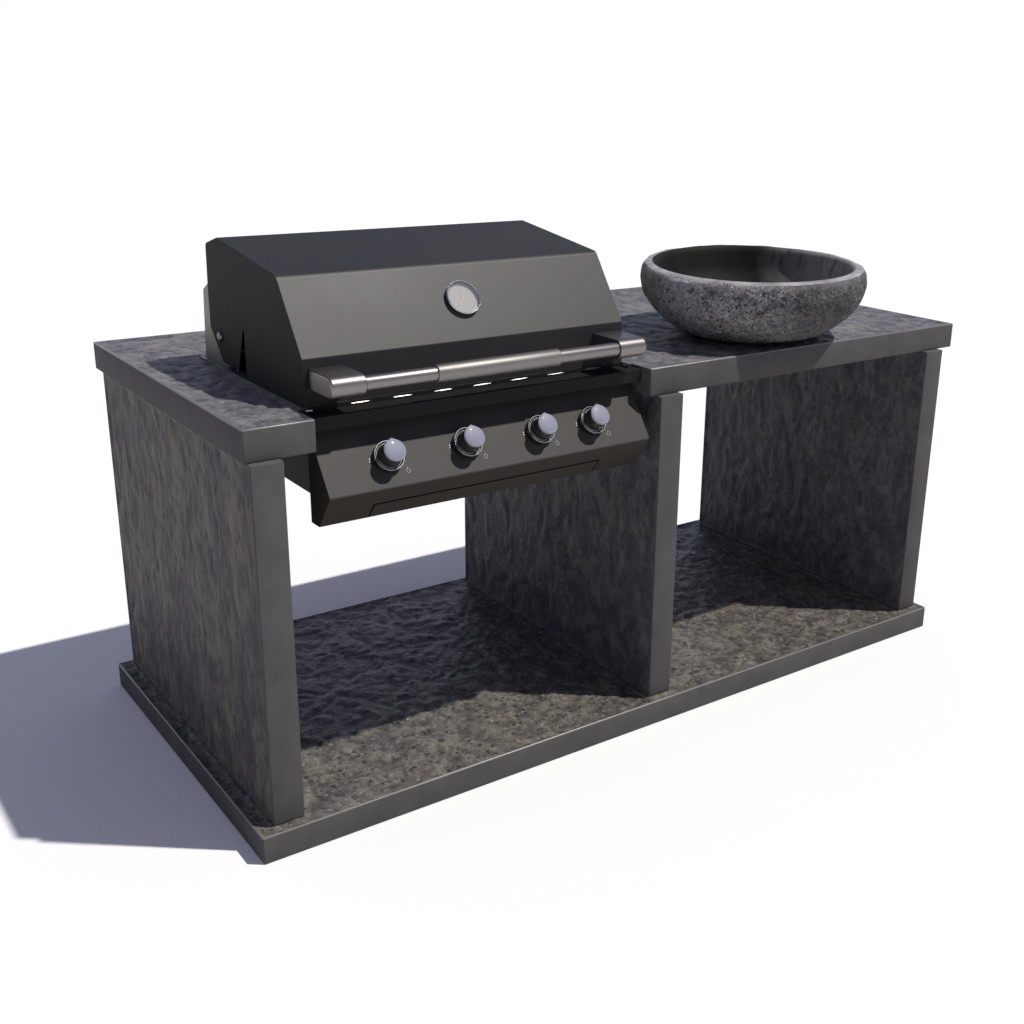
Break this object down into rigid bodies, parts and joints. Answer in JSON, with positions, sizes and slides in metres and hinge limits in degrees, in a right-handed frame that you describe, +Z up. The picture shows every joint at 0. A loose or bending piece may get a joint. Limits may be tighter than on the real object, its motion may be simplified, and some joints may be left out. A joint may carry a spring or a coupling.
{
  "type": "outdoor kitchen island",
  "caption": "Stone-slab outdoor kitchen island: plinth, three legs and a top, with a built-in gas grill under a hinged lid and a river-stone basin.",
  "frame": {"origin": "middle of the plinth's underside, on the ground", "axes": "+Z up, +X to the right along the island as the cook faces it, +Y from the cook's side to the back"},
  "size_m": [2.096, 1.0327, 1.186],
  "materials": {
    "riven_stone": "riven faces, honed edges",
    "river_stone": "rough outside, honed inside",
    "dark_coat": "satin powder coat",
    "steel": "brushed",
    "chrome": "polished",
    "cast_iron": "seasoned",
    "brass": "turned",
    "rubber": "matt",
    "knob_black": "gloss",
    "knob_silver": "satin",
    "dial_card": "matt print",
    "pointer": "satin",
    "lens": "clear"
  },
  "bodies": {
    "island": {"plinth": "riven_stone", "left_leg": "riven_stone", "middle_leg": "riven_stone", "right_leg": "riven_stone", "countertop": "riven_stone", "stone_basin": "river_stone", "front_ledge": "dark_coat", "control_panel": "dark_coat", "firebox": "steel", "rear_guard": "steel", "hinge_rivet_left": "steel", "hinge_rivet_right": "steel", "gas_pipe": "steel", "warming_rack": "steel", "tray_rail_left": "steel", "tray_rail_right": "steel", "burner_1": "steel", "burner_2": "steel", "burner_3": "steel", "burner_4": "steel", "flame_tamer_1": "steel", "flame_tamer_2": "steel", "flame_tamer_3": "steel", "flame_tamer_4": "steel", "basin_waste": "chrome", "waste_backnut": "chrome", "bezel_1": "chrome", "bezel_2": "chrome", "bezel_3": "chrome", "bezel_4": "chrome", "grate_left": "cast_iron", "grate_right": "cast_iron", "valve_1": "brass", "valve_2": "brass", "valve_3": "brass", "valve_4": "brass", "waste_seal": "rubber"},
    "lid": {"lid": "dark_coat", "handle_bar": "chrome", "handle_sleeve": "steel", "handle_bracket_left": "chrome", "handle_bracket_right": "chrome", "thermometer_case": "chrome", "thermometer_dial": "dial_card", "thermometer_lens": "lens", "thermometer_nut": "steel"},
    "needle": {"thermometer_needle": "pointer"},
    "tray": {"drip_tray": "dark_coat"},
    "rotor_1": {"valve_plug_1": "brass"},
    "knob_1": {"knob_1": "knob_black", "knob_cap_1": "knob_silver"},
    "rotor_2": {"valve_plug_2": "brass"},
    "knob_2": {"knob_2": "knob_black", "knob_cap_2": "knob_silver"},
    "rotor_3": {"valve_plug_3": "brass"},
    "knob_3": {"knob_3": "knob_black", "knob_cap_3": "knob_silver"},
    "rotor_4": {"valve_plug_4": "brass"},
    "knob_4": {"knob_4": "knob_black", "knob_cap_4": "knob_silver"}
  },
  "joints": [
    {"name": "lid_swing", "type": "hinge", "parent": "island", "child": "lid", "pos_m": [-0.4415, 0.089, 0.9666], "axis": [-1, 0, 0], "range_deg": [0, 85]},
    {"name": "needle_turn", "type": "hinge", "parent": "lid", "child": "needle", "pos_m": [-0.4415, -0.2886, 1.07353], "axis": [0, -0.8161, 0.5779], "range_deg": [-270, 0]},
    {"name": "tray_slide", "type": "slide", "parent": "island", "child": "tray", "axis": [0, -1, 0], "range_m": [0, 0.45]},
    {"name": "knob_turn_1", "type": "hinge", "parent": "island", "child": "rotor_1", "pos_m": [-0.697, -0.41596, 0.79319], "axis": [0, -0.8155, 0.5787], "range_deg": [0, 225]},
    {"name": "knob_push_1", "type": "slide", "parent": "rotor_1", "child": "knob_1", "axis": [0, 0.8155, -0.5787], "range_m": [0, 0.0035], "stiffness_N_per_m": 1500, "springref_m": -0.003},
    {"name": "knob_turn_2", "type": "hinge", "parent": "island", "child": "rotor_2", "pos_m": [-0.512, -0.41596, 0.79319], "axis": [0, -0.8155, 0.5787], "range_deg": [0, 225]},
    {"name": "knob_push_2", "type": "slide", "parent": "rotor_2", "child": "knob_2", "axis": [0, 0.8155, -0.5787], "range_m": [0, 0.0035], "stiffness_N_per_m": 1500, "springref_m": -0.003},
    {"name": "knob_turn_3", "type": "hinge", "parent": "island", "child": "rotor_3", "pos_m": [-0.327, -0.41596, 0.79319], "axis": [0, -0.8155, 0.5787], "range_deg": [0, 225]},
    {"name": "knob_push_3", "type": "slide", "parent": "rotor_3", "child": "knob_3", "axis": [0, 0.8155, -0.5787], "range_m": [0, 0.0035], "stiffness_N_per_m": 1500, "springref_m": -0.003},
    {"name": "knob_turn_4", "type": "hinge", "parent": "island", "child": "rotor_4", "pos_m": [-0.185, -0.41596, 0.79319], "axis": [0, -0.8155, 0.5787], "range_deg": [0, 225]},
    {"name": "knob_push_4", "type": "slide", "parent": "rotor_4", "child": "knob_4", "axis": [0, 0.8155, -0.5787], "range_m": [0, 0.0035], "stiffness_N_per_m": 1500, "springref_m": -0.003}
  ]
}
